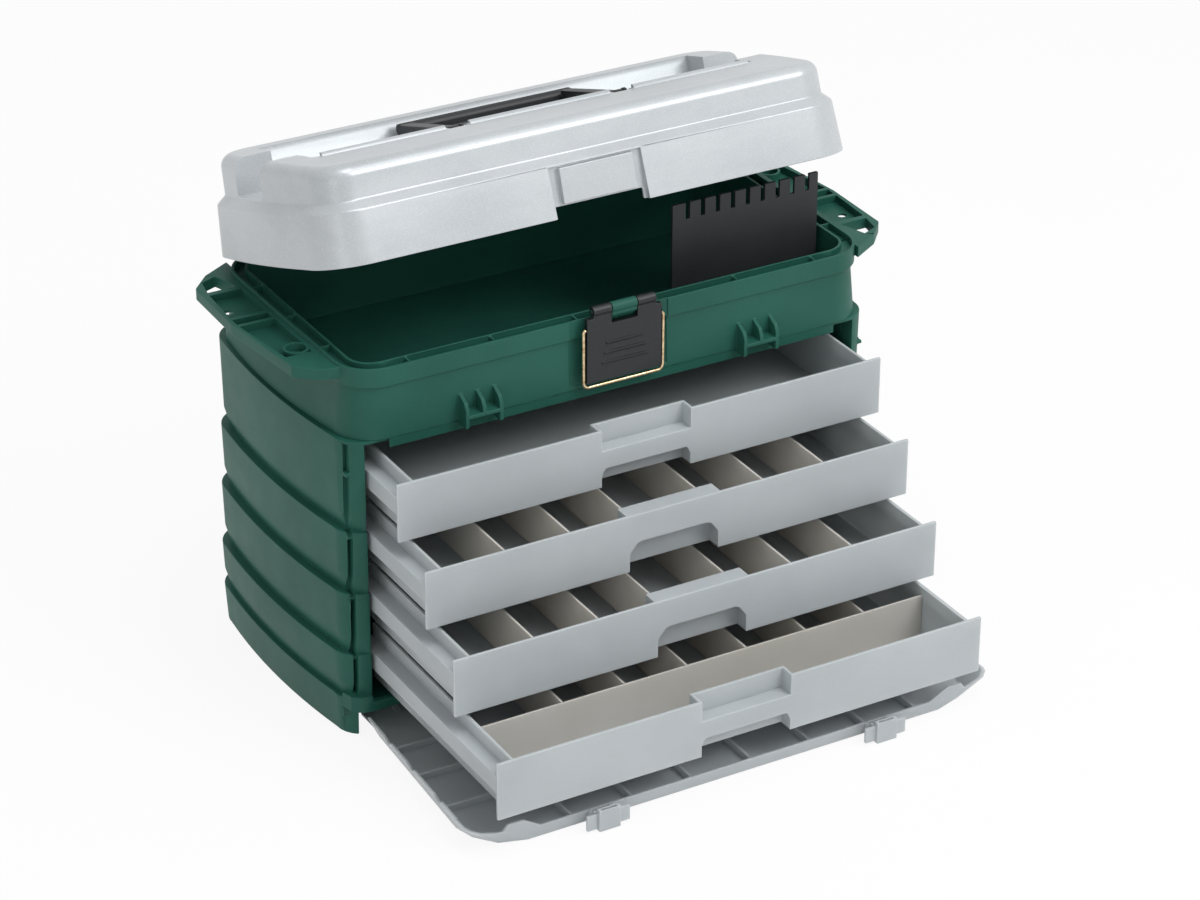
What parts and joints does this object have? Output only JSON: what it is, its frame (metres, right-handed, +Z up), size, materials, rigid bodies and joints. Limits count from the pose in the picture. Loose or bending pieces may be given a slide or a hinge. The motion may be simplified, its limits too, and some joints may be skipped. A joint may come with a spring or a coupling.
{
  "type": "fishing tackle cabinet",
  "caption": "Portable fishing tackle cabinet with a hinged top well, sliding divided drawers and a front door that lies open.",
  "frame": {"origin": "on the ground under the middle of the cabinet shell", "axes": "+Z up, -Y the way the drawers open, X along the cabinet's length"},
  "size_m": [0.582, 0.4975, 0.4959],
  "materials": {
    "green_plastic": "moulded, fine grain",
    "silver_plastic": "satin metallic",
    "grey_plastic": "smooth satin",
    "divider_plastic": "smooth satin, slightly clear",
    "black_plastic": "fine grain",
    "dark_plastic": "smooth",
    "brass_wire": "bright wire",
    "steel": "plain pin"
  },
  "bodies": {
    "cabinet": {"case_shell": "green_plastic", "base_panel": "green_plastic", "runner_panel_left": "dark_plastic", "runner_panel_right": "dark_plastic", "well_tub": "green_plastic", "slotted_rack": "black_plastic", "latch_pin": "steel"},
    "lid": {"lid_shell": "silver_plastic", "lid_hinge_pins": "steel", "handle_bracket_left": "black_plastic", "handle_bracket_right": "black_plastic", "handle_pivot_pins": "steel"},
    "handle": {"handle_grip": "black_plastic"},
    "latch": {"latch_plate": "black_plastic"},
    "bail": {"latch_bail": "brass_wire"},
    "door_carriage": {"door_carriage": "dark_plastic", "door_carriage_bar": "dark_plastic", "door_hinge_pins": "steel"},
    "door": {"door_panel": "grey_plastic", "door_latch_pins": "steel"},
    "door_latch_left": {"door_latch_left": "grey_plastic"},
    "door_latch_right": {"door_latch_right": "grey_plastic"},
    "drawer_1": {"drawer_1_tray": "grey_plastic"},
    "drawer_2": {"drawer_2_tray": "grey_plastic", "drawer_2_divider_1": "divider_plastic", "drawer_2_divider_2": "divider_plastic", "drawer_2_divider_3": "divider_plastic", "drawer_2_divider_4": "divider_plastic", "drawer_2_divider_5": "divider_plastic", "drawer_2_divider_6": "divider_plastic"},
    "drawer_3": {"drawer_3_tray": "grey_plastic", "drawer_3_divider_1": "divider_plastic", "drawer_3_divider_2": "divider_plastic", "drawer_3_divider_3": "divider_plastic", "drawer_3_divider_4": "divider_plastic", "drawer_3_divider_5": "divider_plastic", "drawer_3_divider_6": "divider_plastic"},
    "drawer_4": {"drawer_4_tray": "grey_plastic", "drawer_4_long_divider": "divider_plastic", "drawer_4_rear_divider_1": "divider_plastic", "drawer_4_rear_divider_2": "divider_plastic", "drawer_4_rear_divider_3": "divider_plastic", "drawer_4_rear_divider_4": "divider_plastic", "drawer_4_rear_divider_5": "divider_plastic", "drawer_4_rear_divider_6": "divider_plastic"}
  },
  "joints": [
    {"name": "lid_hinge", "type": "hinge", "parent": "cabinet", "child": "lid", "pos_m": [0, 0.138, 0.346], "axis": [-1, 0, 0], "range_deg": [-18.5, 86.5]},
    {"name": "handle_pivot", "type": "hinge", "parent": "lid", "child": "handle", "pos_m": [0, 0.01007, 0.46789], "axis": [1, 0, 0], "range_deg": [0, 100]},
    {"name": "latch_hinge", "type": "hinge", "parent": "cabinet", "child": "latch", "pos_m": [0, -0.13725, 0.352], "axis": [-1, 0, 0], "range_deg": [0, 110]},
    {"name": "bail_pivot", "type": "hinge", "parent": "latch", "child": "bail", "pos_m": [0, -0.13825, 0.336], "axis": [-1, 0, 0], "range_deg": [0, 150]},
    {"name": "door_slide", "type": "slide", "parent": "cabinet", "child": "door_carriage", "axis": [0, -1, 0], "range_m": [0, 0.026]},
    {"name": "door_hinge", "type": "hinge", "parent": "door_carriage", "child": "door", "pos_m": [0, -0.09, 0.013], "axis": [-1, 0, 0], "range_deg": [0, 2]},
    {"name": "door_latch_left_pivot", "type": "hinge", "parent": "door", "child": "door_latch_left", "pos_m": [-0.135, -0.3445, 0.012], "axis": [-1, 0, 0], "range_deg": [0, 110]},
    {"name": "door_latch_right_pivot", "type": "hinge", "parent": "door", "child": "door_latch_right", "pos_m": [0.135, -0.3445, 0.012], "axis": [-1, 0, 0], "range_deg": [0, 110]},
    {"name": "drawer_1_slide", "type": "slide", "parent": "cabinet", "child": "drawer_1", "axis": [0, -1, 0], "range_m": [-0.05, 0.175]},
    {"name": "drawer_2_slide", "type": "slide", "parent": "cabinet", "child": "drawer_2", "axis": [0, -1, 0], "range_m": [-0.097, 0.128]},
    {"name": "drawer_3_slide", "type": "slide", "parent": "cabinet", "child": "drawer_3", "axis": [0, -1, 0], "range_m": [-0.144, 0.081]},
    {"name": "drawer_4_slide", "type": "slide", "parent": "cabinet", "child": "drawer_4", "axis": [0, -1, 0], "range_m": [-0.216, 0.009]}
  ]
}
